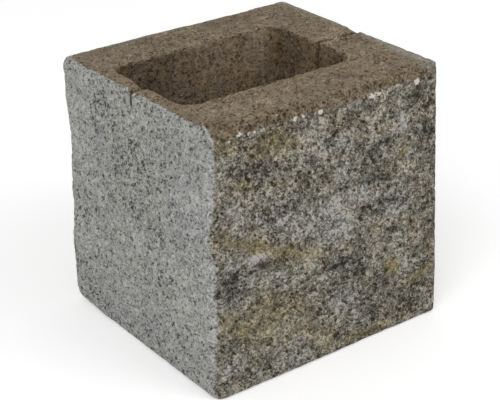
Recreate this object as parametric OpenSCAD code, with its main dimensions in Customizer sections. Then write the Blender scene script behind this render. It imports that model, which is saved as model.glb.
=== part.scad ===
// Hollow concrete walling block, cast in one piece.
// It is one half of a two-core block that was broken in two through its middle web.
// The front (-Y) and the left end (-X) are split faces. The rear (+Y), the right end (+X)
// and the two beds are moulded. A shallow groove runs along the top of both end walls and
// goes on down the inside of the core, so that the block can be halved lengthwise.
// Origin: centre of the footprint, on the lower bed. Sizes are in millimetres.

/* [Block] */
// Length along the front, over the highest points of the split end
block_l = 204.5; // [150:0.5:260]
// Depth from the highest points of the split front to the rear
block_d = 186.5; // [150:0.5:260]
// Height between the beds
block_h = 200; // [100:1:260]
// Worn-off width of the moulded arrises
arris = 2; // [0.5:0.5:4]

/* [Core] */
// Thickness of the moulded right end wall at the top
end_wall = 42; // [25:0.5:55]
// Thickness of the broken web at the left end, over the highest points
web_wall = 16; // [13:0.5:30]
// Thickness of the rear wall at the top
rear_wall = 43.5; // [25:0.5:55]
// Thickness of the front wall, over the highest points
front_wall = 49.5; // [30:0.5:60]
// Corner radius of the core
core_r = 11; // [4:1:20]
// How far each core wall leans in from the top bed to the lower bed
core_draft = 2; // [0.5:0.5:5]

/* [Break groove] */
// How far the groove lies behind the middle of the block
groove_y = 0.5; // [-15:0.5:15]
// How far the groove in the web lies behind the one in the end wall
groove_skew = 4.5; // [0:0.5:10]
// Width of the groove at the top bed
groove_w = 5; // [3:0.5:12]
// Depth of the groove below the top bed
groove_depth = 4; // [2:0.5:10]
// Depth of the upright groove in each end wall of the core
core_groove_depth = 3; // [1:0.5:6]
// Width of the crack in the web under the groove
crack_w = 2; // [0.8:0.2:3]
// Depth of the crack below the top bed
crack_depth = 10; // [6:0.5:25]

/* [Chips beside the groove] */
// Length of both chips along the edges, back from the groove
chip_l = 18; // [6:0.5:30]
// Depth of both chips below the top bed
chip_drop = 4; // [2:0.5:8]
// Width of the chip at the right end, in from the end face
end_chip_w = 8; // [3:0.5:15]
// Width of the chip at the web, in from the core
web_chip_w = 4.5; // [2:0.5:6]

/* [Split faces] */
// Height of the relief of the split front, from valley to peak
front_relief = 4; // [1:0.5:8]
// Height of the relief of the split end, from valley to peak
end_relief = 5; // [1:0.5:8]
// How far the split front leans in from the lower bed to the top bed
front_lean = 7; // [0:0.5:10]
// How far the split end leans in from the lower bed to the top bed
end_lean = 3.5; // [0:0.5:10]
// Length of the broad waves of the split faces
wave = 62; // [30:1:120]
// Length of the short waves of the split faces
ripple = 24; // [18:1:40]
// Size of the facets of the split faces
facet = 9; // [7:0.5:16]
// How far the lower edge of the moulded lip lies behind the highest points of the front
lip_back = 5; // [0:0.5:12]
// Width of the moulded lip, back from its lower edge
lip_run = 4; // [3:0.5:14]
// Height of the moulded lip at the top of the front, down from the top bed
lip_drop = 10; // [6:0.5:30]

/* [Worn edges of the split faces] */
// Width worn off the upright edge between the two split faces
front_wear = 7; // [3:0.5:16]
// Width worn off the upright edge between the split front and the right end, at the top
right_wear = 3; // [0:0.5:8]
// Width worn off the upright edge between the split end and the rear
rear_wear = 2.5; // [2:0.5:16]
// Width worn off the edge between the split end and the top bed
top_wear = 2; // [1:0.5:16]
// Width worn off the edge between the split end and the lower bed
low_wear = 4; // [2:0.5:16]
// Reach of the piece knocked off the top rear corner
top_corner = 4.5; // [4:0.5:30]
// Reach of the piece knocked off the lower rear corner
low_corner = 7; // [4:0.5:30]
// Reach of the piece knocked off the top front corner
front_corner = 14.5; // [4:0.5:30]

/* [Hidden] */
$fn = 32;

concrete = [0.47, 0.44, 0.39];
front_seed = 364;
end_seed = 54;
broad_share = 0.7; // share of the broad waves in the relief
over = 2 * facet; // how far a cutting solid reaches past the block
core_l = block_l - end_wall - web_wall;
core_d = block_d - front_wall - rear_wall;
core_x = (web_wall - end_wall) / 2; // centre of the core
core_y = (front_wall - rear_wall) / 2;

// A repeatable scattered value from 0 to 1 for the lattice point i, j
function scatter(i, j, seed) =
    let (s = sin(i * 127.1 + j * 311.7 + seed * 74.7) * 43758.5)
    s - floor(s);

function ease(t) = t * t * (3 - 2 * t);
function mix(a, b, t) = a + (b - a) * t;

// A smooth random surface from 0 to 1, with hills about one pitch apart
function hills(u, v, pitch, seed) =
    let (
        i = floor(u / pitch),
        j = floor(v / pitch),
        s = ease(u / pitch - i),
        t = ease(v / pitch - j)
    )
    mix(
        mix(scatter(i, j, seed), scatter(i + 1, j, seed), s),
        mix(scatter(i, j + 1, seed), scatter(i + 1, j + 1, seed), s),
        t
    );

// Depth of a split face below its highest points, at u along the face and v above the lower bed
function split_depth(u, v, relief, lean, seed) =
    relief * mix(hills(u, v, ripple, seed + 1), hills(u, v, wave, seed), broad_share)
    + lean * max(0, v) / block_h;

// The concrete that breaks away at a split face: a broken surface with a peak well outside the block.
// The face runs along +X from the origin, and the block lies on its +Y side.
module broken_away(length, relief, lean, seed) {
    columns = ceil((length + 2 * over) / facet);
    rows = ceil((block_h + 2 * over) / facet);
    du = (length + 2 * over) / columns;
    dv = (block_h + 2 * over) / rows;
    function at(i, j) = i * (rows + 1) + j;
    rough = [
        for (i = [0:columns], j = [0:rows])
        let (u = i * du - over, v = j * dv - over)
        [u, split_depth(u, v, relief, lean, seed), v]
    ];
    on_face = [
        for (p = rough)
        if (p[0] > over && p[0] < length - over && p[2] > over && p[2] < block_h - over) p[1]
    ];
    broken = [for (p = rough) [p[0], p[1] - min(on_face), p[2]]];
    peak = [length / 2, -length, block_h / 2];
    inside = [
        for (i = [0:columns - 1], j = [0:rows - 1])
        each [
            [at(i, j), at(i + 1, j), at(i + 1, j + 1)],
            [at(i, j), at(i + 1, j + 1), at(i, j + 1)]
        ]
    ];
    rim = concat(
        [for (i = [0:columns - 1]) at(i, 0)],
        [for (j = [0:rows - 1]) at(columns, j)],
        [for (i = [columns:-1:1]) at(i, rows)],
        [for (j = [rows:-1:1]) at(0, j)]
    );
    outside = [for (k = [0:len(rim) - 1]) [rim[(k + 1) % len(rim)], rim[k], len(broken)]];
    polyhedron(concat(broken, [peak]), concat(inside, outside));
}

// A rectangle about the origin with its corners cut off
module cut_rectangle(a, b) {
    polygon([
        for (s = [[1, 1], [-1, 1], [-1, -1], [1, -1]])
        let (first = s[0] * s[1] > 0)
        each [
            [s[0] * (a / 2 - (first ? 0 : arris)), s[1] * (b / 2 - (first ? arris : 0))],
            [s[0] * (a / 2 - (first ? arris : 0)), s[1] * (b / 2 - (first ? 0 : arris))]
        ]
    ]);
}

// The block as it left the mould, with worn arrises on all its edges
module cast_block() {
    intersection() {
        linear_extrude(block_h)
            cut_rectangle(block_l, block_d);
        translate([0, block_d / 2, block_h / 2])
            rotate([90, 0, 0])
                linear_extrude(block_d)
                    cut_rectangle(block_l, block_h);
        translate([-block_l / 2, 0, block_h / 2])
            rotate([90, 0, 90])
                linear_extrude(block_l)
                    cut_rectangle(block_d, block_h);
    }
}

// Outline of the core, with an upright break groove in each end wall
module core_outline(l, d) {
    hull()
        for (sx = [-1, 1], sy = [-1, 1])
            translate([sx * (l / 2 - core_r), sy * (d / 2 - core_r)])
                circle(core_r);
    deep = l / 2 + core_groove_depth;
    shallow = l / 2 - core_groove_depth;
    web_y = (groove_at(-1) - core_y) * d / core_d;
    end_y = (groove_at(1) - core_y) * d / core_d;
    polygon([
        [-deep, web_y],
        [-shallow, web_y - groove_w],
        [shallow, end_y - groove_w],
        [deep, end_y],
        [shallow, end_y + groove_w],
        [-shallow, web_y + groove_w]
    ]);
}

// The hollow, open at both beds and wider at the top
module core() {
    lean_in = 2 * core_draft * (block_h + over) / block_h;
    lean_out = 2 * core_draft * over / block_h;
    low_l = core_l - lean_in;
    low_d = core_d - lean_in;
    translate([core_x, core_y, -over])
        linear_extrude(
            block_h + 2 * over,
            scale = [(core_l + lean_out) / low_l, (core_d + lean_out) / low_d],
            slices = 1
        )
            core_outline(low_l, low_d);
}

// Where the groove lies across the block, on the web's side (-1) or the end wall's side (1)
function groove_at(side) = groove_y - side * groove_skew / 2;

// The groove along the top of both end walls, and the crack that runs down from it in the web
module break_groove() {
    half = block_l / 2 + over;
    for (side = [-1, 1])
        translate([side < 0 ? -half : 0, groove_at(side), block_h])
            rotate([90, 0, 90])
                linear_extrude(half)
                    polygon([[-groove_w, groove_depth], [0, -groove_depth], [groove_w, groove_depth]]);
    translate([-half, groove_at(-1) - crack_w / 2, block_h - crack_depth])
        cube([over + web_wall + core_r, crack_w, crack_depth + over]);
}

// What the mould's splitting rib leaves out above the split front
module lip_cut() {
    translate([-block_l / 2 - over, lip_back - block_d / 2, block_h])
        rotate([90, 0, 90])
            linear_extrude(block_l + 2 * over)
                polygon([
                    [-over, over],
                    [lip_run * (over + lip_drop) / lip_drop, over],
                    [0, -lip_drop],
                    [-over, -lip_drop]
                ]);
}

// A half space with its flat side at a distance from the origin along a direction
module beyond(direction, distance) {
    turn = atan2(norm([direction[0], direction[1]]), direction[2]);
    rotate([0, turn, atan2(direction[1], direction[0])])
        translate([-block_l, -block_l, distance])
            cube([2 * block_l, 2 * block_l, block_l]);
}

// A chip off the top of an end wall, widest at the groove and running out behind it.
// The wall's edge at x faces +X, and the chip is w wide there.
module groove_chip(side, x, w) {
    slope = [1 / w, -1 / chip_l, 1 / chip_drop];
    translate([x, groove_at(side), block_h])
        intersection() {
            beyond(slope, -1 / norm(slope));
            translate([-w, 0, -chip_drop])
                cube([w + over, chip_l, chip_drop + over]);
        }
}

// The cut that takes a width off each face meeting at a point of an edge
module wear_at(point, direction, width) {
    translate(point)
        beyond(direction, -width / norm(direction));
}

// The worn edges of the split faces
module worn_edges() {
    low_front = [-block_l / 2, -block_d / 2, 0];
    low_right = [block_l / 2, -block_d / 2, 0];
    low_rear = [-block_l / 2, block_d / 2, 0];
    top_front = low_front + [end_lean, front_lean, block_h];
    top_rear = low_rear + [end_lean, 0, block_h];
    wear_at(low_front, [-1, -1, (front_lean + end_lean) / block_h], front_wear);
    wear_at(low_right, [1, -1, (front_lean + right_wear) / block_h], 0);
    wear_at(low_rear, [-1, 1, end_lean / block_h], rear_wear);
    wear_at(top_rear, [-1, 0, 1], top_wear);
    wear_at(low_rear, [-1, 0, -1], low_wear);
    wear_at(top_rear, [-1, 1, 1], top_corner);
    wear_at(low_rear, [-1, 1, -1], low_corner);
    wear_at(top_front, [-1, -1, 1], front_corner);
}

module block() {
    color(concrete)
        difference() {
            cast_block();
            core();
            break_groove();
            groove_chip(1, block_l / 2, end_chip_w);
            groove_chip(-1, web_wall - block_l / 2, web_chip_w);
            lip_cut();
            worn_edges();
            translate([-block_l / 2, -block_d / 2, 0])
                broken_away(block_l, front_relief, front_lean, front_seed);
            translate([-block_l / 2, block_d / 2, 0])
                rotate([0, 0, -90])
                    broken_away(block_d, end_relief, end_lean, end_seed);
        }
}

block();
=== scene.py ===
import math
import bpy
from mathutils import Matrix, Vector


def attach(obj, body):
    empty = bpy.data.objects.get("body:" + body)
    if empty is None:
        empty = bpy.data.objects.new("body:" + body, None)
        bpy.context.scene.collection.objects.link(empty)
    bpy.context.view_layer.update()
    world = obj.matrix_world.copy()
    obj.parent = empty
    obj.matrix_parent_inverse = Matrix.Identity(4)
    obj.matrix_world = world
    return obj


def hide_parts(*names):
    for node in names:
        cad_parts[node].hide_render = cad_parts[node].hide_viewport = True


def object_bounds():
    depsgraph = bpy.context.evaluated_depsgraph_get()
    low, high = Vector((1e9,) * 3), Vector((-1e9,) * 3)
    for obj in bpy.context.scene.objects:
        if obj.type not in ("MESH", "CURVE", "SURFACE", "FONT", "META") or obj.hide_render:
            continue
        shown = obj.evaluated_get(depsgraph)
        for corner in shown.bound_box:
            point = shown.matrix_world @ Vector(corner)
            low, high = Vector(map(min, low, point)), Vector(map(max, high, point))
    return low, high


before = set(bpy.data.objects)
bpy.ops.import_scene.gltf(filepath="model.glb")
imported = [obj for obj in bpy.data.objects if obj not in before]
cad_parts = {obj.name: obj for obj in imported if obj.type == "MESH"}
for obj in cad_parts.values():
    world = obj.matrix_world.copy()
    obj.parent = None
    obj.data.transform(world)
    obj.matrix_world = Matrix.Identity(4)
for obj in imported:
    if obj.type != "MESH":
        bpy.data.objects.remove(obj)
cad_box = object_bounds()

from types import SimpleNamespace

import bpy
import numpy as np
from mathutils import Matrix, Vector
from mathutils.bvhtree import BVHTree

MM = 0.001

# Layout of the block, in millimetres: the outer sizes are the frame's, the rest are as in the part's source
HALF_LONG, HALF_DEEP, HIGH = [round(size / MM, 2) for size in cad_box[1]]
FRONT_LEAN = 7.0
END_LEAN = 3.5
FRONT_WALL = 49.5
REAR_WALL = 43.5
WEB_WALL = 16.0
END_WALL = 42.0
CORE_RADIUS = 11.0
GROOVE_Y = 0.5
GROOVE_SKEW = 4.5
WEB_LINE = GROOVE_Y + GROOVE_SKEW / 2
END_LINE = GROOVE_Y - GROOVE_SKEW / 2

# Lines that the columns of the mesh stand on, inside the outer wall and inside the core
OUTER_INSET = 10.0
OUTER_X = (-HALF_LONG + END_LEAN + OUTER_INSET, HALF_LONG - OUTER_INSET)
OUTER_Y = (-HALF_DEEP + FRONT_LEAN + OUTER_INSET, HALF_DEEP - OUTER_INSET)
CORE_X = (-HALF_LONG + WEB_WALL + CORE_RADIUS, HALF_LONG - END_WALL - CORE_RADIUS)
CORE_Y = (-HALF_DEEP + FRONT_WALL + CORE_RADIUS, HALF_DEEP - REAR_WALL - CORE_RADIUS)

# Spacing of the columns, in millimetres: finest in a strip to both sides of the groove's line
FINE = 1.4
COARSE = 3.0
GROOVE_FINE = 0.6
GROOVE_HALF = 4.5
END_CHIP_Y = 16.5
CORNER_STEPS = {"front_right": 9, "right_rear": 7, "rear_left": 12, "left_front": 14}


# Noise

def scattered(cell, seed):
    """Repeatable values from 0 to 1 for whole-number lattice points."""
    key = cell.astype(np.int64)
    mixed = key[..., 0] * 73856093 ^ key[..., 1] * 19349663 ^ key[..., 2] * 83492791 ^ (seed * 2654435761)
    mixed = mixed & 0xFFFFFFFF
    mixed = ((mixed >> 16) ^ mixed) * 0x45D9F3B & 0xFFFFFFFF
    mixed = ((mixed >> 16) ^ mixed) * 0x45D9F3B & 0xFFFFFFFF
    mixed = (mixed >> 16) ^ mixed
    return mixed / 4294967295.0


def hills(points, pitch, seed):
    """Smooth noise from -1 to 1 with hills about one pitch apart. Each axis may have its own pitch."""
    place = points / np.asarray(pitch, float)
    cell = np.floor(place)
    part = place - cell
    part = part * part * (3 - 2 * part)
    total = np.zeros(points.shape[:-1])
    for corner in np.ndindex(2, 2, 2):
        weight = np.ones(points.shape[:-1])
        for axis, far in enumerate(corner):
            weight = weight * (part[..., axis] if far else 1 - part[..., axis])
        total += weight * scattered(cell + np.array(corner), seed)
    return 2 * total - 1


def grains(points, pitch, seed):
    """Rounded grains about one pitch apart: 1 at the middle of a grain, 0 in the seams between grains."""
    place = points / np.asarray(pitch, float)
    cell = np.floor(place)
    nearest = np.full(points.shape[:-1], 9.0)
    for step in np.ndindex(3, 3, 3):
        other = cell + np.array(step) - 1
        heart = np.stack([scattered(other, seed + axis) for axis in range(3)], -1) + other
        nearest = np.minimum(nearest, ((place - heart) ** 2).sum(-1))
    return np.clip(1 - nearest, 0, 1)


def ramp(value, low, high):
    """0 below low, 1 above high and a smooth step between them."""
    part = np.clip((value - low) / (high - low), 0, 1)
    return part * part * (3 - 2 * part)


# Columns of the mesh, counted round the block as seen from above

def spaced(start, end, pitch):
    """Evenly spaced values from start to just before end."""
    count = max(1, int(round(abs(end - start) / pitch)))
    return [start + (end - start) * i / count for i in range(count)]


def lay_columns():
    """Side, outward direction, place along the outer wall and place along the core, of each column."""
    columns = []

    def side(name, normal, stretches):
        """A straight side. Both ends of a stretch pair a place on the outer wall with one on the core."""
        for (out_a, in_a), (out_b, in_b), pitch in stretches:
            for out in spaced(out_a, out_b, pitch):
                part = (out - out_a) / (out_b - out_a)
                columns.append((name, normal, out, in_a + (in_b - in_a) * part))
        columns.append((name, normal, *stretches[-1][1]))

    def corner(name, angle):
        """The columns that fan round a corner, from one side's direction to the next."""
        for step in range(1, CORNER_STEPS[name]):
            turn = math.radians(angle + 90 * step / CORNER_STEPS[name])
            columns.append((name, (math.cos(turn), math.sin(turn)), None, None))

    front, rear = zip(OUTER_Y, CORE_Y)
    left, right = zip(OUTER_X, CORE_X)
    low, high = [(END_LINE + step, END_LINE + step) for step in (-GROOVE_HALF, GROOVE_HALF)]
    web_low, web_high = [(WEB_LINE + step, WEB_LINE + step) for step in (-GROOVE_HALF, GROOVE_HALF)]
    chip = (END_CHIP_Y, END_CHIP_Y)
    side("front", (0, -1), [(left, right, FINE)])
    corner("front_right", -90)
    side("right", (1, 0), [
        (front, low, COARSE), (low, high, GROOVE_FINE), (high, chip, FINE), (chip, rear, COARSE)
    ])
    corner("right_rear", 0)
    side("rear", (0, 1), [(right, left, COARSE)])
    corner("rear_left", 90)
    side("left", (-1, 0), [(rear, web_high, FINE), (web_high, web_low, GROOVE_FINE), (web_low, front, FINE)])
    corner("left_front", 180)
    return columns


CORNER_SIGNS = {"front_right": (1, 0), "right_rear": (1, 1), "rear_left": (0, 1), "left_front": (0, 0)}


def feet(column):
    """The column's foot points at the top, inside the outer wall and inside the core."""
    name, normal, out, inner = column
    if name in CORNER_SIGNS:
        right, rear = CORNER_SIGNS[name]
        return (OUTER_X[right], OUTER_Y[rear]), (CORE_X[right], CORE_Y[rear])
    if name in ("front", "rear"):
        rear = int(name == "rear")
        return (out, OUTER_Y[rear]), (inner, CORE_Y[rear])
    right = int(name == "right")
    return (OUTER_X[right], out), (CORE_X[right], inner)


def lean_of(foot):
    """How far the outer foot moves in from the lower bed to the top bed, as the split faces lean."""
    from_right = (OUTER_X[1] - foot[0]) / (OUTER_X[1] - OUTER_X[0])
    from_rear = (OUTER_Y[1] - foot[1]) / (OUTER_Y[1] - OUTER_Y[0])
    return np.array([END_LEAN * from_right, FRONT_LEAN * from_rear, 0.0])


# Rows of the mesh, counted up the outer wall, over the top, down the core and out along the lower bed.
# The walls' rows are heights, and the beds' rows are shares of the way across.

ROW_MARGIN = 0.1
LAST_ROW = HIGH - ROW_MARGIN
FOOT_ROWS = 8.0
UPRIGHT = 184.0
SQUEEZED = 180.0
OUTER_ROWS = np.array(
    spaced(ROW_MARGIN, FOOT_ROWS, 1.1) + spaced(FOOT_ROWS, UPRIGHT, 1.38)
    + spaced(UPRIGHT, LAST_ROW, 0.85) + [LAST_ROW]
)
TOP_ROWS = np.array([0.02, 0.05] + spaced(0.085, 0.93, 0.047) + [0.93, 0.965, 0.99])
CORE_ROWS = np.array(
    [LAST_ROW, 199.0, 197.8, 196.4, 194.6, 192.4] + spaced(190, 4, 8.0) + [4, 1.2, ROW_MARGIN]
)
LOWER_ROWS = np.array([0.04, 0.15, 0.35, 0.55, 0.75, 0.9, 0.97])


def squeeze(heights, top):
    """Heights above a set level, pressed together to end just under a lowered top."""
    factor = (top - ROW_MARGIN - SQUEEZED) / (LAST_ROW - SQUEEZED)
    return np.where(heights > SQUEEZED, SQUEEZED + (heights - SQUEEZED) * factor, heights)


# Where the rays start that find the solid: outside it, above it, and in from the walls' faces at one level
FAR_OUT = 80.0
FAR_UP = 100.0
WALL_LEVEL = 185.0
IN_FROM_OUTER = 5.0
IN_FROM_CORE = 3.0


def lay_grid(columns, tree):
    """Points of the closed grid, in millimetres, found on the CAD solid by casting rays."""

    def cast(start, direction):
        hit = tree.ray_cast(Vector(start) * MM, Vector(direction))[0]
        return None if hit is None else np.array(hit) / MM

    rows = len(OUTER_ROWS) + len(TOP_ROWS) + len(CORE_ROWS) + len(LOWER_ROWS)
    grid = np.zeros((len(columns), rows, 3))
    up = np.array([0.0, 0.0, 1.0])
    for k, column in enumerate(columns):
        normal = np.array([column[1][0], column[1][1], 0.0])
        top_foot, inner_foot = [np.array([*foot, 0.0]) for foot in feet(column)]
        lean = lean_of(top_foot)

        def outer_hit(height):
            start = top_foot - lean * max(0, 1 - height / UPRIGHT) + FAR_OUT * normal + height * up
            return cast(start, -normal)

        outer_wall = outer_hit(WALL_LEVEL)
        inner_wall = cast(inner_foot + WALL_LEVEL * up, normal)
        outer_top = cast(outer_wall - IN_FROM_OUTER * normal + FAR_UP * up, -up)[2]
        inner_top = cast(inner_wall + IN_FROM_CORE * normal + FAR_UP * up, -up)[2]
        points = [outer_hit(height) for height in squeeze(OUTER_ROWS, outer_top)]
        core = [cast(inner_foot + height * up, normal) for height in squeeze(CORE_ROWS, inner_top)]
        for part in TOP_ROWS:
            above = points[len(OUTER_ROWS) - 1] * (1 - part) + core[0] * part
            points.append(cast(above + FAR_UP * up, -up))
        points.extend(core)
        for part in LOWER_ROWS:
            points.append((core[-1] * (1 - part) + points[0] * part) * (1, 1, 0))
        grid[k] = points
    return grid


def soften(grid, times, share=0.5):
    """Moves each point towards the middle of its four neighbours. Each point may have its own share."""
    share = np.asarray(share, float)
    if share.ndim == 2:
        share = share[..., None]
    for _ in range(times):
        middle = sum(np.roll(grid, step, axis) for axis in (0, 1) for step in (-1, 1)) / 4
        grid = grid + (middle - grid) * share
    return grid


def outward(grid):
    """Unit normals of the grid."""
    along = np.roll(grid, -1, 0) - np.roll(grid, 1, 0)
    up = np.roll(grid, -1, 1) - np.roll(grid, 1, 1)
    normal = np.cross(along, up)
    return normal / np.maximum(np.linalg.norm(normal, axis=-1, keepdims=True), 1e-9)


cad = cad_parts["block"]
tree = BVHTree.FromPolygons([v.co for v in cad.data.vertices], [p.vertices for p in cad.data.polygons])
columns = lay_columns()
grid = lay_grid(columns, tree)

# Which side each column is on and which stretch each row is on
names = np.array([column[0] for column in columns])
stretch = np.repeat([0, 1, 2, 3], [len(OUTER_ROWS), len(TOP_ROWS), len(CORE_ROWS), len(LOWER_ROWS)])
OUTER, TOP, CORE = [(stretch == k).astype(float)[None, :] for k in range(3)]


def on(*sides):
    """1 on the columns of the named sides."""
    return np.isin(names, sides).astype(float)[:, None]


# The facets of the solid's split faces are smoothed away, then all the edges a little, and then the two
# corners at the rear of the split end
FACET_PASSES = 36
FACET_SIDES = (6, 14)
FACET_FOOT = (4, 10)
FACET_TOP = 184.5
EDGE_PASSES = 3
CORNER_PASSES = 10
CORNER_TOP = 7.0
CORNER_LOW = 10.0
NO_LINE = 99.0
x, y, z = grid[..., 0], grid[..., 1], grid[..., 2]
away = OUTER * ramp(FACET_TOP - z, 0, 6) * ramp(z, *FACET_FOOT)
inner_front = on("front") * ramp(HALF_LONG - np.abs(x), *FACET_SIDES)
inner_end = on("left") * ramp(HALF_DEEP - np.abs(y), *FACET_SIDES)
grid = soften(grid, FACET_PASSES, 0.5 * away * np.maximum(inner_front, inner_end))
from_line = np.where(on("right") > 0, np.abs(y - END_LINE), NO_LINE)
from_line = np.where(on("left") > 0, np.abs(y - WEB_LINE), from_line)
groove = ramp(z, 184, 187) * ramp(GROOVE_HALF - from_line, 0, 1.5)
base = soften(grid, EDGE_PASSES, 0.5 - 0.45 * groove - 0.3 * on("front_right", "right_rear"))
far_top = np.linalg.norm(base - (-HALF_LONG + END_LEAN, HALF_DEEP, HIGH), axis=-1)
far_low = np.linalg.norm(base - (-HALF_LONG, HALF_DEEP, 0), axis=-1)
near_corner = 0.5 * np.exp(-((far_top / CORNER_TOP) ** 2)) + 0.5 * np.exp(-((far_low / CORNER_LOW) ** 2))
base = soften(base, CORNER_PASSES, near_corner)
normal = outward(base)
edge = np.clip(((base - soften(base, 4)) * normal).sum(-1) / 0.4, 0, 1) * (1 - 0.7 * groove)

# Zones of the surface: split front, split end, walls of the core, plain moulded sides, lip and worn edges.
# The strips are how far the split end reaches round the corner onto the front, by height. The top's right
# edge is worn except beside the groove.
FRONT_RIGHT = 101.0
NEAR_TOP = (190, 196)
WORN_RIGHT = 91.5
WORN_RIGHT_FADE = 9.0
WORN_REAR = (86, 91)
UNWORN_FROM = (-7, -2)
UNWORN_TO = 20.0
WORN_CORNER_X = -70.0
WORN_CORNER_WIDE = 6.5
LIP_LOW = 191.6
LIP_SLOPE = 0.006
STRIP_HEIGHTS = (0, 35, 65, 95, 125, 150, 190)
STRIP_WIDTHS = (3.2, 3.2, 5.2, 5.2, 2.8, 6.0, 7.0)
x, y, z = base[..., 0], base[..., 1], base[..., 2]
wander = hills(base, 9, 21) * 0.6 + hills(base, 4, 22) * 0.4
lip_low = LIP_LOW + LIP_SLOPE * x + 1.5 * wander + 1.1 * hills(base, 3.0, 26) - 3 * ramp(-90 - x, 0, 6)
split_corner = -HALF_LONG + END_LEAN * z / HIGH
front_left = split_corner + np.interp(z, STRIP_HEIGHTS, STRIP_WIDTHS) + 1.4 * wander
front = OUTER * on("front", "front_right", "left_front") * ramp(lip_low - z, -0.6, 0.6)
front = front * ramp(x - front_left, -0.9, 0.9) * ramp(FRONT_RIGHT - x + 0.5 * wander, -0.8, 0.8)
end = OUTER * on("left", "rear_left", "left_front")
end = end * ramp(split_corner + 6.5 - x + 1.2 * wander + 3 * on("left"), -0.8, 0.8)
brink = base[:, [len(OUTER_ROWS) - 1]]
past_brink = np.where(TOP > 0, np.linalg.norm(base - brink, axis=-1), z - brink[..., 2])
grey_reach = 0.3 + 1.3 * wander + 1.0 * hills(base, 2.4, 23) + 3.0 * np.exp(-((far_top / 13) ** 2))
end = (end + TOP * on("left", "rear_left")) * ramp(grey_reach - past_brink, -0.5, 0.5)
end = np.clip(end, 0, 1) * (1 - front)
core = CORE * ramp(199.2 - z, 0, 1.5)
moulded = np.clip(1 - front - end - core, 0, 1)
side = moulded * OUTER * on("right", "rear", "front_right", "right_rear") * ramp(197 - z, 0, 4)
lip = moulded * OUTER * on("front", "front_right", "left_front") * ramp(199 - z + wander, -1, 1)
worn_corner = moulded * on("front", "left_front") * ramp(WORN_CORNER_X - x, 0, 14) * ramp(z, *NEAR_TOP)
worn_corner = worn_corner * ramp(WORN_CORNER_WIDE - past_brink + 2 * wander, -2, 2)
lip = np.maximum(lip, worn_corner)
worn_from = WORN_RIGHT - 5 * ramp(-10 - y, 0, 60)
worn_right = ramp(x + 1.5 * wander, worn_from, worn_from + WORN_RIGHT_FADE)
worn = np.maximum(worn_right, 0.7 * ramp(y, *WORN_REAR)) * ramp(z, *NEAR_TOP)
worn = worn * moulded * (1 - ramp(y, *UNWORN_FROM) * ramp(UNWORN_TO - y, 0, 4))

# Relief, along the normals: calm near the lower bed and the right edge, and with chips along the edges
CALM_RIGHT = 101.5
CALM_FOOT = 10.0
SHARP_RIGHT = (96, 101)
SHARP_TOP = 194.0
FAR_RIGHT_X = (90, 100)
FAR_RIGHT_Y = (14, 22)
front_rough = (
    0.7 * hills(base, (16, 12, 11), 1) + 0.55 * hills(base, (7, 6, 5.5), 2) + 0.35 * hills(base, 2.9, 3)
    + 0.6 * (grains(base, 5.2, 4) - 0.62) + 0.7 * (grains(base, 3.1, 5) - 0.62)
) * (0.3 + 0.7 * ramp(CALM_RIGHT - x, 0, 8) * ramp(z, 0, CALM_FOOT))
end_rough = (
    0.3 * hills(base, 13, 6) + 0.28 * hills(base, 5.5, 7) + 0.24 * hills(base, 2.8, 8)
    + 0.5 * (grains(base, 3.4, 9) - 0.62)
) * (0.4 + 0.6 * ramp(z, 0, 8))
mould_rough = 0.12 * hills(base, 9, 10) + 0.1 * hills(base, 3.4, 11) + 0.2 * (grains(base, 3.0, 12) - 0.62)
core_rough = 0.3 * hills(base, (2.6, 2.6, 38), 14) + 0.25 * hills(base, (4.5, 4.5, 9), 15)
pits = ramp(hills(base, 3.4, 13), 0.5, 0.85)
relief = front * front_rough + end * end_rough + core * core_rough
relief = relief + moulded * mould_rough * (1 + 2.0 * lip)
pit_depth = 0.8 * front + 0.7 * end + (0.35 + 0.5 * lip) * moulded + 0.3 * core
relief = relief - pits * pit_depth * np.maximum(1 - OUTER, ramp(z, 0, 6))
chips = ramp(hills(base, 6, 16) + 0.5 * hills(base, 2.7, 17), 0.1, 0.9)
sharp_side = np.maximum(ramp(x, *SHARP_RIGHT), on("rear_left") * OUTER) * ramp(SHARP_TOP - z, 0, 4)
far_right = ramp(x, *FAR_RIGHT_X) * ramp(y, *FAR_RIGHT_Y) * ramp(z, *NEAR_TOP)
foot = OUTER * ramp(CALM_FOOT - z, 0, 4)
chip_size = (1 - 0.8 * sharp_side) * (1 - 0.85 * far_right) * (1 - 0.85 * foot)
chip_size = chip_size * (1 + 0.4 * (CORE + on("left") * TOP))
relief = relief - edge * (2.0 * chips + 0.5 * hills(base, 3.2, 18)) * chip_size
relief = relief - 1.2 * edge * on("rear") * ramp(hills(base, 24, 25), -0.1, 0.25) * ramp(z, 190, 195)
relief = relief * (1 - 0.6 * groove)

# The upright edge at the rear of the split end is wavy: how far it stands out, by height
WAVE_HEIGHTS = (0, 6, 14, 30, 40, 50, 60, 80, 100, 125, 145, 160, 180, 195, 200)
WAVE_OUT = (-2.4, -0.6, 1.1, 1.9, 1.2, 2.6, 2.0, 0.8, 1.4, 0.5, 0.5, 1.7, 2.6, 3.4, 1.2)
WAVE_REACH = (48, 86)
wave_out = OUTER * end * np.interp(z, WAVE_HEIGHTS, WAVE_OUT) * ramp(y, *WAVE_REACH)

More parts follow.
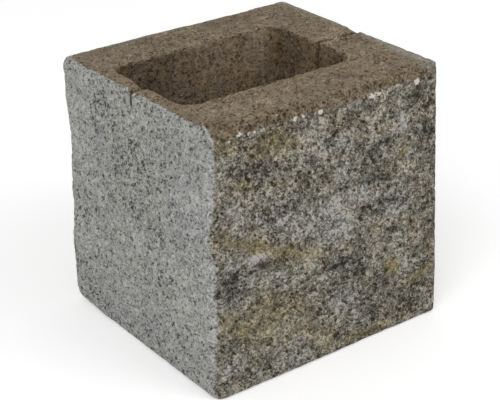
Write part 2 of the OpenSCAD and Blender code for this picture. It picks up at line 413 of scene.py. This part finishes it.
# The groove ends in a thin crack, goes on down the core as a line of painted shade, and the chip beside it
# is rough.
# The crack and the chip are darkened with painted shade, and the worn corner has dark flecks
CRACK_WIDE = 0.65
CRACK_WIDER = 0.55
CRACK_LOW = (187.5, 190.5)
SEAM_WIDE = 1.8
SEAM_LOW = (165, 196)
line = np.exp(-(((from_line + 0.7 * wander) / (CRACK_WIDE + CRACK_WIDER * on("right"))) ** 2))
line = line * (0.6 + 0.4 * ramp(hills(base, 2.6, 27), -0.4, 0.2))
crack = line * np.maximum(TOP * on("left", "right"), OUTER * on("left") * ramp(z, *CRACK_LOW))
seam_shade = np.exp(-(((from_line + 1.5 * wander) / SEAM_WIDE) ** 2)) * CORE * on("right") * ramp(z, *SEAM_LOW)
crumbs = hills(base, 2.6, 24)
chipped = TOP * on("right") * ramp(199.4 - z, 0, 1.2) * (1 - groove)
relief = relief - 1.6 * crack * TOP - chipped * (0.5 + 1.3 * crumbs)
# Painted shade in the crack, along the line down the core and in the chipped strip, and dark flecks on the
# worn corner
dark = np.clip(1.25 * crack + 0.5 * seam_shade + chipped * (0.3 + 0.5 * ramp(crumbs, -0.2, 0.5)), 0, 1)
dark = np.maximum(dark, 0.6 * worn_corner * ramp(hills(base, 2.6, 28), -0.05, 0.4))

# White pebbles along the lower side of the lip: place along the front, height, width and whiteness.
# Those on the top have a place along x and y and a width.
PEBBLES_DOWN = 0.6
PEBBLE_SPREAD = 0.62
PEBBLE_RISE = 0.7
PEBBLES = [
    (-82, 189.7, 2.4, 0.5), (-73, 192.1, 3.2, 0.8), (-66, 190.8, 2.6, 0.6), (-61, 190.8, 2.6, 0.7),
    (-47, 190.2, 2.0, 0.4), (-27.5, 191.0, 3.2, 1.0), (-21, 191.2, 2.6, 0.9), (-6, 190.6, 3.8, 0.9),
    (-11, 190.4, 2.2, 0.5), (38.5, 190.6, 4.0, 0.9), (45.5, 190.6, 3.4, 0.8), (53, 190.2, 2.0, 0.4),
    (65, 190.8, 2.2, 0.4), (80, 191.2, 4.6, 1.0), (86, 191.4, 2.2, 0.4),
]
TOP_PEBBLES = [(79, -2, 4.2), (72, 2, 1.8), (82, 38, 2.0)]
pebble = np.zeros(x.shape)
for mid_x, mid_z, width, white in PEBBLES:
    far = ((x - mid_x) ** 2 + (1.1 * (z - mid_z + PEBBLES_DOWN)) ** 2) / (PEBBLE_SPREAD * width) ** 2
    pebble = np.maximum(pebble, (0.6 + 0.4 * white) * np.exp(-0.7 * far) * OUTER * on("front"))
for mid_x, mid_y, width in TOP_PEBBLES:
    far = ((x - mid_x) ** 2 + (y - mid_y) ** 2) / (PEBBLE_SPREAD * width) ** 2
    pebble = np.maximum(pebble, np.exp(-0.7 * far) * TOP)
relief = relief * (1 - pebble) + PEBBLE_RISE * pebble
grid = base + normal * relief[..., None]
grid[..., 0] -= wave_out
grid[..., 2] = np.maximum(grid[..., 2], 0)

# Ochre, cool, dark and light patches of the split front: middle along x and z, half sizes, slope, strength
OCHRE_PATCHES = [
    (-46, 176, 23, 11, 0.0, 0.78), (-72, 155, 11, 8, 0.0, 0.6), (-86, 184, 12, 7, 0.0, 0.6),
    (-63, 107, 30, 7, -0.45, 1.0), (-20, 87, 16, 7, -0.15, 0.8), (-38, 96, 12, 7, -0.4, 0.9),
    (15, 79, 7, 4, 0.0, 0.6), (-88, 61, 9, 8, 0.0, 0.8), (-77, 49, 10, 8, 0.0, 0.85),
    (-54, 50, 36, 22, -0.2, 0.65), (-26, 50, 7, 9, 0.0, 0.6), (-25, 33, 18, 9, -0.5, 0.6),
    (-6, 15, 12, 11, 0.0, 0.65), (34, 7, 34, 5, 0.0, 0.65), (57, 53, 7.5, 7, 0.0, 1.25),
    (84, 38, 15, 5.5, 0.3, 0.8), (92, 60, 5, 10, 0.0, 0.6), (80, 78, 18, 13, 0.0, 0.4),
    (55, 131, 11, 7, 0.0, 0.5), (68, 141, 3.2, 3.2, 0.0, 1.0), (47, 162, 9, 9, 0.0, 0.4),
    (45, 90, 7, 5, 0.0, 0.45), (80, 138, 7, 5, 0.0, 0.35), (35, 176, 60, 14, 0.0, 0.25),
    (62, 34, 10, 7, 0.0, 0.35), (-40, 148, 8, 5, 0.0, 0.4),
]
COOL_PATCHES = [
    (-86, 82, 13, 13, 0.0, 1.0), (-63, 96, 8, 5, 0.0, 0.8), (-6, 106, 14, 9, 0.0, 0.6),
    (58, 102, 16, 8, 0.0, 0.6), (28, 126, 10, 9, 0.0, 0.5), (-45, 125, 16, 8, 0.0, 0.5),
    (-57, 163, 8, 5, 0.0, 0.6), (10, 70, 14, 7, 0.0, 0.5), (20, 34, 16, 10, 0.0, 0.4),
]
DARK_PATCHES = [
    (-68, 165, 14, 8, 0.0, 0.6), (-87, 84, 9, 9, 0.0, 0.8), (-36, 175, 9, 7, 0.0, 0.35),
    (-56, 177, 8, 6, 0.0, 0.2), (-35, 155, 7, 7, 0.0, 0.6), (55, 108, 12, 5, 0.0, 1.2),
    (34, 104, 10, 3, 0.0, 0.7), (9, 72, 7, 5, 0.0, 1.1), (27, 64, 6, 7, 0.0, 0.9),
    (40, 143, 6, 4, 0.0, 1.1), (44, 46, 6, 6, 0.0, 1.1), (36, 38, 4, 4, 0.0, 0.9),
    (39, 19, 5, 12, 0.0, 1.0), (78, 12, 5, 7, 0.0, 0.6), (86, 33, 5, 4, 0.0, 0.8),
    (95, 72, 6, 6, 0.0, 1.0), (90, 148, 11, 4, 0.0, 1.0), (85, 178, 8, 8, 0.0, 0.9),
    (35, 182, 5, 4, 0.0, 0.8), (33, 163, 5, 4, 0.0, 0.8), (4, 173, 4, 5, 0.0, 0.8),
    (50, 150, 22, 3, 0.0, 0.7), (-57, 93, 12, 3.5, 0.0, 0.9), (-34, 92, 11, 8, 0.0, 0.5),
    (48, 126, 8, 6, 0.0, 0.7), (-65, 62, 9, 4, 0.0, 0.6), (-90, 40, 7, 5, 0.0, 0.6),
    (-30, 129, 7, 4, 0.0, 0.6), (60, 22, 34, 20, 0.0, 0.2), (-60, 14, 12, 5, 0.0, 0.6),
    (7, 13, 6, 5, 0.0, 0.6), (20, 180, 5, 8, 0.0, 0.5), (95, 98, 5, 8, 0.0, 0.6),
    (60, 82, 8, 4, 0.0, 0.5),
]
LIGHT_PATCHES = [
    (-16, 174, 14, 9, 0.0, 0.6), (0, 161, 16, 5, 0.0, 0.9), (-77, 136, 8, 7, 0.0, 0.8),
    (-58, 144, 20, 3, 0.0, 0.5), (6, 117, 32, 7, 0.0, 0.95), (-18, 87, 10, 5, 0.0, 0.9),
    (-6, 15, 8, 7, 0.0, 0.6), (-27, 107, 7, 4, 0.0, 1.2), (-42, 119, 4, 5, 0.0, 1.0),
    (38, 113, 8, 4, 0.0, 0.7), (11, 98, 17, 11, 0.0, 0.7), (-64, 100, 7, 4, 0.0, 1.5),
    (59, 97, 9, 5, 0.0, 1.0), (69, 53, 4.5, 6, 0.0, 0.8), (11, 42, 6, 6, 0.0, 0.9),
    (-30, 25, 7, 5, 0.0, 1.0), (-87, 24, 12, 4, 0.0, 0.8), (-43, 38, 9, 9, 0.0, 0.5),
    (16, 143, 13, 5, 0.0, 0.5), (40, 158, 9, 6, 0.0, 0.5), (66, 162, 5, 9, 0.0, 0.7),
    (40, 175, 9, 6, 0.0, 0.4), (-45, 80, 8, 6, 0.0, 0.5), (-66, 82, 7, 4, 0.0, 0.5),
    (-24, 80, 8, 4, 0.0, 0.5), (5, 80, 6, 5, 0.0, 0.5), (-5, 63, 12, 4, 0.0, 0.4),
    (72, 137, 6, 6, 0.0, 0.5), (63, 73, 6, 5, 0.0, 0.4), (-32, 10, 10, 8, 0.0, 0.4),
]
# Light and dark patches of the split end: middle along y and z, half sizes, slope and strength
END_LIGHT = [
    (-62, 138, 16, 18, 0.0, 1.0), (82, 148, 10, 24, 0.0, 0.8), (-50, 80, 14, 8, 0.0, 0.8),
    (70, 188, 14, 10, 0.0, 0.6), (5, 88, 14, 6, 0.0, 0.6), (30, 92, 10, 6, 0.0, 0.5),
    (-86, 110, 6, 70, 0.0, 0.8), (-30, 190, 30, 6, 0.0, 0.4), (60, 60, 20, 10, 0.0, 0.4),
    (-50, 52, 24, 8, 0.0, 0.4),
]
# The long dark patch along the foot of the split end, at a height of 6, is painted shade
END_DARK = [
    (40, 178, 14, 6, 0.0, 0.6), (0, 110, 22, 10, 0.0, 0.7), (75, 96, 12, 5, 0.0, 0.7),
    (40, 82, 14, 6, 0.0, 0.5), (-15, 104, 8, 5, 0.0, 0.7), (70, 25, 20, 12, 0.0, 0.4),
    (-60, 30, 10, 7, 0.0, 0.6), (10, 6, 70, 8, 0.0, 0.6), (10, 152, 24, 14, 0.0, 0.4),
    (-45, 155, 8, 10, 0.0, 0.5),
]
shift = 3 * hills(base, 12, 41) + 2.2 * hills(base, 5, 42)
rise = 2.5 * hills(base, 11, 43) + 1.8 * hills(base, 4.4, 44)


def patches(spots, along):
    """How strongly the patches cover each point: their strength in the middle, and 0 far away."""
    cover = np.zeros(x.shape)
    for middle, mid_z, half_long, half_high, slope, strength in spots:
        beside = along + shift - middle
        height = (z + rise - mid_z - slope * beside) / half_high
        cover = np.maximum(cover, strength * np.exp(-0.8 * ((beside / half_long) ** 2 + height ** 2)))
    return cover


ochre = patches(OCHRE_PATCHES, x) - patches(COOL_PATCHES, x)
under_lip = np.exp(-(((z - lip_low + 2.0) / 2.0) ** 2))
tone = front * (patches(LIGHT_PATCHES, x) - patches(DARK_PATCHES, x) + 0.1 * under_lip)
tone = tone + end * (patches(END_LIGHT, y) - patches(END_DARK, y))

# Painted shade and light in the core's colour: it is darker towards the split end, the bottom and the end
# wall, and lighter beside its far corner
SHADE_LEFT = (-70, 10)
SHADE_RIGHT = (50, 58)
SHADE_LOW = (80, 160)
LIGHT_X = 44.0
LIGHT_WIDE = 8.0
LIGHT_REAR = (40, 48)
LIGHT_HIGH = (150, 185)
shade = CORE * (1 - ramp(x, *SHADE_LEFT) + 1.6 * (1 - ramp(z, *SHADE_LOW)) + 0.55 * ramp(x, *SHADE_RIGHT))
corner_painted_light = CORE * ramp(y, *LIGHT_REAR) * ramp(z, *LIGHT_HIGH)
shade = shade - corner_painted_light * np.exp(-(((x - LIGHT_X) / LIGHT_WIDE) ** 2))

# The split end is most pitted above its middle
PITTED_Y = -2.0
PITTED_Z = 150.0
PITTED_LONG = 48.0
PITTED_HIGH = 46.0
pitted = np.exp(-(((y - PITTED_Y) / PITTED_LONG) ** 2) - ((z - PITTED_Z) / PITTED_HIGH) ** 2)


def make_block():
    """The mesh of the block, with its zones as attributes and a map that unrolls the grid."""
    count, rows = grid.shape[:2]
    index = np.arange(count * rows).reshape(count, rows)
    beside = np.roll(index, -1, 0)
    faces = np.stack([index, beside, np.roll(beside, -1, 1), np.roll(index, -1, 1)], -1).reshape(-1, 4)
    mesh = bpy.data.meshes.new("concrete_block")
    mesh.from_pydata((grid.reshape(-1, 3) * MM).tolist(), [], faces.tolist())
    mesh.polygons.foreach_set("use_smooth", np.ones(len(faces), bool))
    fields = {
        "front": front, "end": end, "core": core, "side": side, "lip": lip, "worn": worn,
        "ochre": ochre, "tone": tone, "pebble": pebble, "relief": relief, "pitted": pitted,
        "dark": dark, "shade": shade,
    }
    for name, values in fields.items():
        layer = mesh.attributes.new(name, "FLOAT", "POINT")
        layer.data.foreach_set("value", values.reshape(-1).astype(np.float32))
    spans = []
    for axis in (0, 1):
        step = np.linalg.norm(np.roll(grid, -1, axis) - grid, axis=-1).mean(1 - axis)
        spans.append(np.concatenate([[0], np.cumsum(step)]) / step.sum())
    along, across = np.meshgrid(np.arange(count), np.arange(rows), indexing="ij")
    corners = [(along, across), (along + 1, across), (along + 1, across + 1), (along, across + 1)]
    unrolled = np.stack([np.stack([spans[0][a], spans[1][b]], -1) for a, b in corners], 2)
    layer = mesh.uv_layers.new(name="OFBake")
    layer.uv.foreach_set("vector", unrolled.reshape(-1).astype(np.float32))
    mesh.update()
    piece = bpy.data.objects.new("concrete_block", mesh)
    bpy.context.scene.collection.objects.link(piece)
    return piece


# Materials

def paint(red, green, blue):
    """A colour given as screen values from 0 to 255, as linear red, green, blue and alpha."""
    def linear(value):
        part = value / 255
        return part / 12.92 if part <= 0.04045 else ((part + 0.055) / 1.055) ** 2.4
    return (linear(red), linear(green), linear(blue), 1.0)


# Grains are a little longer along one direction, which runs slantwise down into the block. Their outlines
# are shaken by noise of a size, and as far as a reach.
GRAIN_TURN = 36.0
GRAIN_TILT = 26.0
GRAIN_LONGER = 1.8
SHAKE_SIZE = 2.4
SHAKE_REACH = 3.0


class Shader:
    """A short way to add nodes to a material. Sizes are in millimetres."""

    def __init__(self, name):
        self.material = bpy.data.materials.new(name)
        self.material.use_nodes = True
        self.tree = self.material.node_tree
        self.surface = self.tree.nodes["Principled BSDF"]
        self.output = self.tree.nodes["Material Output"]

    def node(self, kind):
        return self.tree.nodes.new(kind)

    def link(self, value, socket):
        if isinstance(value, bpy.types.NodeSocket):
            self.tree.links.new(value, socket)
        else:
            socket.default_value = value

    def math(self, kind, first, second=0.0):
        node = self.node("ShaderNodeMath")
        node.operation = kind
        self.link(first, node.inputs[0])
        self.link(second, node.inputs[1])
        return node.outputs[0]

    def vector(self, kind, first, second):
        node = self.node("ShaderNodeVectorMath")
        node.operation = kind
        self.link(first, node.inputs[0])
        self.link(second, node.inputs["Scale" if kind == "SCALE" else 1])
        return node.outputs[0]

    def field(self, name):
        node = self.node("ShaderNodeAttribute")
        node.attribute_name = name
        return node.outputs["Fac"]

    def spread(self, place, stretch, shift):
        node = self.node("ShaderNodeMapping")
        node.inputs["Location"].default_value = (shift, shift * 0.7, shift * 1.3)
        node.inputs["Scale"].default_value = stretch
        self.link(place, node.inputs["Vector"])
        return node.outputs[0]

    def turned(self, place, axis, angle):
        node = self.node("ShaderNodeVectorRotate")
        node.rotation_type = axis
        node.inputs["Angle"].default_value = math.radians(angle)
        self.link(place, node.inputs["Vector"])
        return node.outputs[0]

    def start(self):
        """The places that noise is read at: along the block, along the grain, and shaken to be ragged."""
        self.level = self.node("ShaderNodeTexCoord").outputs["Object"]
        slanting = self.turned(self.turned(self.level, "Z_AXIS", GRAIN_TURN), "X_AXIS", GRAIN_TILT)
        self.place = self.spread(slanting, (1, 1 / GRAIN_LONGER, 1), 0.0)
        shake = self.node("ShaderNodeTexNoise")
        shake.inputs["Scale"].default_value = 1 / (SHAKE_SIZE * MM)
        shake.inputs["Detail"].default_value = 2.0
        self.link(self.place, shake.inputs["Vector"])
        offset = self.vector("SUBTRACT", shake.outputs["Color"], (0.5, 0.5, 0.5))
        self.ragged = self.vector("ADD", self.place, self.vector("SCALE", offset, SHAKE_REACH * MM))

    def hills(self, place, size):
        node = self.node("ShaderNodeTexNoise")
        node.inputs["Scale"].default_value = 1 / (size * MM)
        node.inputs["Detail"].default_value = 0.0
        self.link(place, node.inputs["Vector"])
        return self.scale(node.outputs["Fac"], 2.0, -1.0)

    def noise(self, size, shift):
        """Smooth noise from about -1 to 1 with hills of a size."""
        return self.hills(self.spread(self.place, (1, 1, 1), shift), size)

    def bands(self, size, shift, stretch):
        """Smooth noise from about -1 to 1 with hills that are longer along some axes of the block."""
        return self.hills(self.spread(self.level, stretch, shift), size)

    def grain(self, size, shift):
        """Ragged grains of a size, each with its own value from -1 to 1."""
        node = self.node("ShaderNodeTexVoronoi")
        node.inputs["Scale"].default_value = 1 / (size * MM)
        self.link(self.spread(self.ragged, (1, 1, 1), shift), node.inputs["Vector"])
        split = self.node("ShaderNodeSeparateColor")
        self.link(node.outputs["Color"], split.inputs[0])
        return self.scale(split.outputs[0], 2.0, -1.0)

    def specks(self, size, shift, cover):
        """Ragged spots in cells of a size, 1 in a spot and 0 outside. More cover makes larger spots."""
        node = self.node("ShaderNodeTexVoronoi")
        node.inputs["Scale"].default_value = 1 / (size * MM)
        self.link(self.spread(self.ragged, (1, 1, 1), shift), node.inputs["Vector"])
        split = self.node("ShaderNodeSeparateColor")
        self.link(node.outputs["Color"], split.inputs[0])
        reach = self.math("MULTIPLY", split.outputs[1], cover)
        return self.step(self.math("SUBTRACT", reach, node.outputs["Distance"]), -0.06, 0.06)

    def scale(self, value, factor, shift=0.0):
        node = self.node("ShaderNodeMath")
        node.operation = "MULTIPLY_ADD"
        self.link(value, node.inputs[0])
        node.inputs[1].default_value = factor
        node.inputs[2].default_value = shift
        return node.outputs[0]

    def step(self, value, low, high):
        """0 below low, 1 above high and a smooth step between them."""
        node = self.node("ShaderNodeMapRange")
        node.interpolation_type = "SMOOTHSTEP"
        self.link(value, node.inputs["Value"])
        node.inputs["From Min"].default_value = low
        node.inputs["From Max"].default_value = high
        return node.outputs["Result"]

    def blend(self, share, first, second):
        node = self.node("ShaderNodeMix")
        node.data_type = "RGBA"
        self.link(share, node.inputs["Factor"])
        self.link(first, node.inputs[6])
        self.link(second, node.inputs[7])
        return node.outputs[2]

    def tones(self, value, stops):
        """A colour picked by a value: stops pair a value with a colour."""
        node = self.node("ShaderNodeValToRGB")
        marks = node.color_ramp.elements
        for _ in stops[2:]:
            marks.new(0.5)
        for mark, (place, colour) in zip(marks, stops):
            mark.position = place
            mark.color = colour
        self.link(value, node.inputs[0])
        return node.outputs[0]

    def mix(self, level, *parts):
        """A level plus values that each have their weight."""
        total = level
        for value, weight in parts:
            total = self.math("ADD", self.scale(value, weight), total)
        return total


# Colours, as screen values from 0 to 255. Levels pair a tone with a brightness, and a tint is added to it.
BROWN_LEVELS = [(0.0, 36), (0.3, 82), (0.5, 106), (0.75, 125), (1.0, 160)]
BROWN_TINTS = [(12.5, 0, -16), (16.5, 1, -21)]
WORN_LEVELS = [(0.0, 92), (0.5, 140), (1.0, 162)]
WORN_TINT = (5, 2, -8)
WORN_SHARE = 0.82
CORE_LEVELS = [(0.0, 36), (0.3, 81), (0.55, 112), (1.0, 157)]
CORE_TINTS = [(13, -0.5, -14.5), (20.5, 1, -24.5)]
PLAIN_LEVELS = [(0.0, 54), (0.3, 93), (0.55, 112), (1.0, 151)]
PLAIN_TINT = (11, 1, -13)
GREY_LEVELS = [(0.0, 58), (0.3, 123), (0.5, 150), (0.75, 170), (1.0, 194)]
GREY_TINTS = [(0.3, 0.4, -0.6), (1, 1.3, -6)]
FRONT_LEVELS = [(0.0, 36), (0.25, 76), (0.5, 108), (0.75, 141), (1.0, 176)]
FRONT_TINTS = [(2.5, 2.3, -5), (6, 0.8, -5.5)]
OLIVE_TINT = (10, 3, -14.5)
OCHRE_TINT = (15, 4, -24.5)
CRACK_SHADE_AND_FLECK_COLOUR = (30, 24, 19)
CRACK_SHADE_AND_FLECK_SHARE = 0.85
PEBBLE_COLOUR = (214, 207, 197)
PEBBLE_SHARE = 0.95
ROUGHNESS = 0.92
SHINE = 0.25
BUMP_HEIGHT = 0.6
BUMP_STRENGTH = 0.9


def concrete_noise(s):
    """The noise, and the fields of the mesh, that the colours share."""
    n = SimpleNamespace()
    n.dust = s.noise(1.2, 0.1)
    n.sand = s.grain(2.2, 0.2)
    n.grit = s.grain(4.4, 0.3)
    n.clump = s.noise(7.0, 0.4)
    n.band = s.bands(9.0, 0.5, (0.4, 0.4, 1))
    n.drift = s.noise(18.0, 0.65)
    n.broad = s.noise(45.0, 0.6)
    # The relief as colour: painted shade in its hollows and painted light on its bumps
    n.low_spots = s.field("relief")
    n.patch = s.field("tone")
    n.stain = s.field("ochre")
    n.pitted = s.field("pitted")
    n.pocks = s.specks(2.2, 0.15, s.mix(0.5, (n.clump, 0.1), (n.broad, 0.1), (n.pitted, 0.12)))
    n.holes = s.specks(3.6, 0.25, s.mix(0.48, (n.patch, -0.16), (n.band, 0.13), (n.pitted, 0.12)))
    n.flakes = s.specks(2.8, 0.35, s.mix(0.52, (n.patch, 0.14), (n.clump, 0.08)))
    n.warm = s.step(s.mix(0.0, (n.sand, 0.3), (n.clump, 0.5), (n.drift, 0.6), (n.broad, 0.5)), -0.6, 0.6)
    return n


def shades(s, tone, levels, tint):
    """A colour picked by a tone."""
    return s.tones(tone, [(place, paint(*[level + part for part in tint])) for place, level in levels])


def two_shades(s, share, tone, levels, tints):
    """A colour picked by a tone, in two tints that are blended by a share."""
    return s.blend(share, *[shades(s, tone, levels, tint) for tint in tints])


def moulded_colour(s, n):
    """Brown concrete of the top and the lip, paler and greyer along worn edges."""
    top_tone = s.mix(
        0.54, (n.dust, 0.27), (s.noise(0.8, 0.45), 0.23), (n.sand, 0.12), (n.grit, 0.09), (n.clump, 0.11),
        (n.band, 0.06), (n.broad, 0.13), (n.low_spots, 0.15), (n.pocks, -0.36), (n.flakes, 0.12)
    )
    lip_tone = s.mix(
        0.47, (n.dust, 0.4), (n.sand, 0.18), (n.grit, 0.1), (n.clump, 0.12), (n.low_spots, 0.12),
        (n.pocks, -0.3), (n.holes, -0.27)
    )
    tone = s.blend(s.field("lip"), top_tone, lip_tone)
    brown = two_shades(s, n.warm, tone, BROWN_LEVELS, BROWN_TINTS)
    worn = shades(s, tone, WORN_LEVELS, WORN_TINT)
    return s.blend(s.scale(s.field("worn"), WORN_SHARE), brown, worn)


def core_colours(s, n):
    """Brown concrete inside the core, with upright streaks and painted shade and light, and on the plain
    moulded sides.
    """
    streak = s.bands(3.0, 0.7, (1, 1, 0.12))
    tone = s.mix(
        0.55, (streak, 0.11), (n.dust, 0.2), (n.sand, 0.1), (n.grit, 0.06), (n.clump, 0.12), (n.broad, 0.1),
        (n.pocks, -0.24), (n.holes, -0.13)
    )
    # The core's painted shade darkens its tone
    inside_tone = s.mix(tone, (s.field("shade"), -0.2))
    inside = two_shades(s, n.warm, inside_tone, CORE_LEVELS, CORE_TINTS)
    plain = shades(s, tone, PLAIN_LEVELS, PLAIN_TINT)
    return inside, plain


def end_colour(s, n):
    """Grey concrete of the split end, a little yellower where it is aged."""
    tone = s.mix(
        0.62, (n.dust, 0.43), (n.sand, 0.17), (n.grit, 0.08), (n.clump, 0.1), (n.band, 0.06),
        (n.broad, 0.08), (n.patch, 0.12), (n.low_spots, 0.12), (n.pocks, -0.36), (n.holes, -0.24),
        (n.flakes, 0.1)
    )
    aged = s.mix(-0.1, (n.sand, 0.2), (n.clump, 0.4), (n.drift, 0.4), (n.broad, 0.4), (n.pitted, 0.4))
    return two_shades(s, s.step(aged, -0.6, 0.6), tone, GREY_LEVELS, GREY_TINTS)


def front_colour(s, n):
    """Mottled concrete of the split front: neutral, olive in places, and ochre where it is stained."""
    tone = s.mix(
        0.55, (n.dust, 0.45), (n.sand, 0.22), (n.grit, 0.15), (n.clump, 0.1), (n.band, 0.1), (n.patch, 0.28),
        (n.low_spots, 0.1), (n.pocks, -0.32), (n.holes, -0.34), (n.flakes, 0.18)
    )
    calm = s.scale(s.step(n.stain, 0.1, 1.0), 0.35)
    tone = s.math("ADD", s.math("MULTIPLY", tone, s.scale(calm, -1.0, 1.0)), s.scale(calm, 0.46))
    blush = s.mix(0.0, (s.bands(11.0, 0.55, (0.6, 0.6, 1)), 1.0), (n.clump, 0.4))
    olive = s.mix(
        0.75, (n.sand, 0.15), (n.band, 0.35), (n.clump, 0.25), (s.math("ABSOLUTE", n.patch), -0.45),
        (tone, -0.4), (s.math("MINIMUM", n.stain), 0.9)
    )
    stained = s.mix(0.0, (n.stain, 1.0), (n.sand, 0.08), (n.grit, 0.12), (n.clump, 0.16))
    colour = two_shades(s, s.step(blush, -0.5, 0.5), tone, FRONT_LEVELS, FRONT_TINTS)
    colour = s.blend(s.step(olive, 0.0, 1.0), colour, shades(s, tone, FRONT_LEVELS, OLIVE_TINT))
    return s.blend(s.step(stained, 0.1, 1.0), colour, shades(s, tone, FRONT_LEVELS, OCHRE_TINT))


def fine_bump(s, n):
    """Normals with relief that is too fine for the mesh."""
    bump = s.node("ShaderNodeBump")
    bump.inputs["Distance"].default_value = BUMP_HEIGHT * MM
    bump.inputs["Strength"].default_value = BUMP_STRENGTH
    s.link(s.mix(0.0, (n.dust, 0.6), (n.sand, 0.3), (n.pocks, -0.6), (n.flakes, 0.3)), bump.inputs["Height"])
    return bump.outputs[0]


def concrete():
    """Brown moulded concrete, grey split concrete and mottled split concrete, by the mesh's zones."""
    s = Shader("concrete")
    s.start()
    n = concrete_noise(s)
    inside, plain = core_colours(s, n)
    colour = s.blend(s.field("side"), moulded_colour(s, n), plain)
    colour = s.blend(s.field("core"), colour, inside)
    colour = s.blend(s.field("end"), colour, end_colour(s, n))
    colour = s.blend(s.field("front"), colour, front_colour(s, n))
    # Painted shade in the crack, the line down the core and the chipped strip, and dark flecks on the worn
    # corner
    colour = s.blend(s.scale(s.field("dark"), CRACK_SHADE_AND_FLECK_SHARE), colour, paint(*CRACK_SHADE_AND_FLECK_COLOUR))
    white = s.step(s.mix(0.0, (s.field("pebble"), 1.0), (n.dust, 0.25), (n.sand, 0.06)), 0.5, 0.66)
    colour = s.blend(s.scale(white, PEBBLE_SHARE), colour, paint(*PEBBLE_COLOUR))
    s.link(colour, s.surface.inputs["Base Color"])
    s.surface.inputs["Roughness"].default_value = ROUGHNESS
    s.surface.inputs["Specular IOR Level"].default_value = SHINE
    s.link(fine_bump(s, n), s.surface.inputs["Normal"])
    return s.material


block = make_block()
block.data.materials.append(concrete())
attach(block, "root")
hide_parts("block")


# Floor, light and camera. Lamps have a name, a place in metres and a power in watts.

FLOOR_SIZE = 6.0
FLOOR_COLOUR = (0.85, 0.85, 0.85, 1)
FLOOR_GLOW = 0.32
SKY_STRENGTH = 0.55
WHITE = (1, 1, 1, 1)
LAMP_SIZE = 1.6
LAMPS = [("lamp_left", (-1.9, -1.3, 2.4), 34), ("lamp_right", (1.2, -2.3, 2.4), 24)]


def seen_directly(tree):
    """1 for the rays that show the background itself, straight or by a mirror or glass."""
    path = tree.nodes.new("ShaderNodeLightPath")
    total = path.outputs["Is Camera Ray"]
    for name in ("Is Glossy Ray", "Is Transmission Ray"):
        join = tree.nodes.new("ShaderNodeMath")
        join.operation = "MAXIMUM"
        tree.links.new(total, join.inputs[0])
        tree.links.new(path.outputs[name], join.inputs[1])
        total = join.outputs[0]
    return total


def floor_paint():
    """Pale matt paint that looks white where the object doesn't shade it."""
    s = Shader("floor_paint")
    s.surface.inputs["Base Color"].default_value = FLOOR_COLOUR
    s.surface.inputs["Roughness"].default_value = 1.0
    glow = s.node("ShaderNodeEmission")
    s.link(s.scale(seen_directly(s.tree), FLOOR_GLOW), glow.inputs["Strength"])
    both = s.node("ShaderNodeAddShader")
    s.link(s.surface.outputs[0], both.inputs[0])
    s.link(glow.outputs[0], both.inputs[1])
    s.link(both.outputs[0], s.output.inputs["Surface"])
    return s.material


half = FLOOR_SIZE / 2
floor_mesh = bpy.data.meshes.new("floor")
floor_mesh.from_pydata(
    [(-half, -half, 0), (half, -half, 0), (half, half, 0), (-half, half, 0)], [], [(0, 1, 2, 3)]
)
floor = bpy.data.objects.new("floor", floor_mesh)
floor.data.materials.append(floor_paint())
bpy.context.scene.collection.objects.link(floor)


def lamp(name, place, power):
    """A square area lamp that points at the middle of the block."""
    data = bpy.data.lights.new(name, "AREA")
    data.size = LAMP_SIZE
    data.energy = power
    piece = bpy.data.objects.new(name, data)
    piece.location = place
    aim = Vector((0, 0, HIGH / 2 * MM)) - piece.location
    piece.rotation_mode = "QUATERNION"
    piece.rotation_quaternion = aim.to_track_quat("-Z", "Y")
    bpy.context.scene.collection.objects.link(piece)


for name, place, power in LAMPS:
    lamp(name, place, power)

world = bpy.data.worlds.new("studio")
world.use_nodes = True
bpy.context.scene.world = world
nodes = world.node_tree.nodes
links = world.node_tree.links
sky = nodes["Background"]
sky.inputs["Color"].default_value = WHITE
sky.inputs["Strength"].default_value = SKY_STRENGTH
white = nodes.new("ShaderNodeBackground")
white.inputs["Color"].default_value = WHITE
pick = nodes.new("ShaderNodeMixShader")
links.new(seen_directly(world.node_tree), pick.inputs[0])
links.new(sky.outputs[0], pick.inputs[1])
links.new(white.outputs[0], pick.inputs[2])
links.new(pick.outputs[0], nodes["World Output"].inputs["Surface"])

# Eye and lens are in millimetres, and angles in degrees
CAMERA_EYE = (-571.87, -779.33, 559.76)
CAMERA_AZIMUTH = -36.17
CAMERA_ELEVATION = 25.94
CAMERA_ROLL = -1.14
CAMERA_LENS = 104.05
SENSOR_WIDTH = 36

azimuth = math.radians(CAMERA_AZIMUTH)
elevation = math.radians(CAMERA_ELEVATION)
back = Vector((
    math.sin(azimuth) * math.cos(elevation), -math.cos(azimuth) * math.cos(elevation), math.sin(elevation)
))
lens = bpy.data.cameras.new("camera")
lens.lens = CAMERA_LENS
lens.sensor_width = SENSOR_WIDTH
camera = bpy.data.objects.new("camera", lens)
turn = (-back).to_track_quat("-Z", "Y").to_matrix().to_4x4()
roll = Matrix.Rotation(math.radians(CAMERA_ROLL), 4, "Z")
camera.matrix_world = Matrix.Translation(Vector(CAMERA_EYE) * MM) @ turn @ roll
bpy.context.scene.collection.objects.link(camera)
bpy.context.scene.camera = camera

bpy.context.scene.view_settings.view_transform = "Standard"
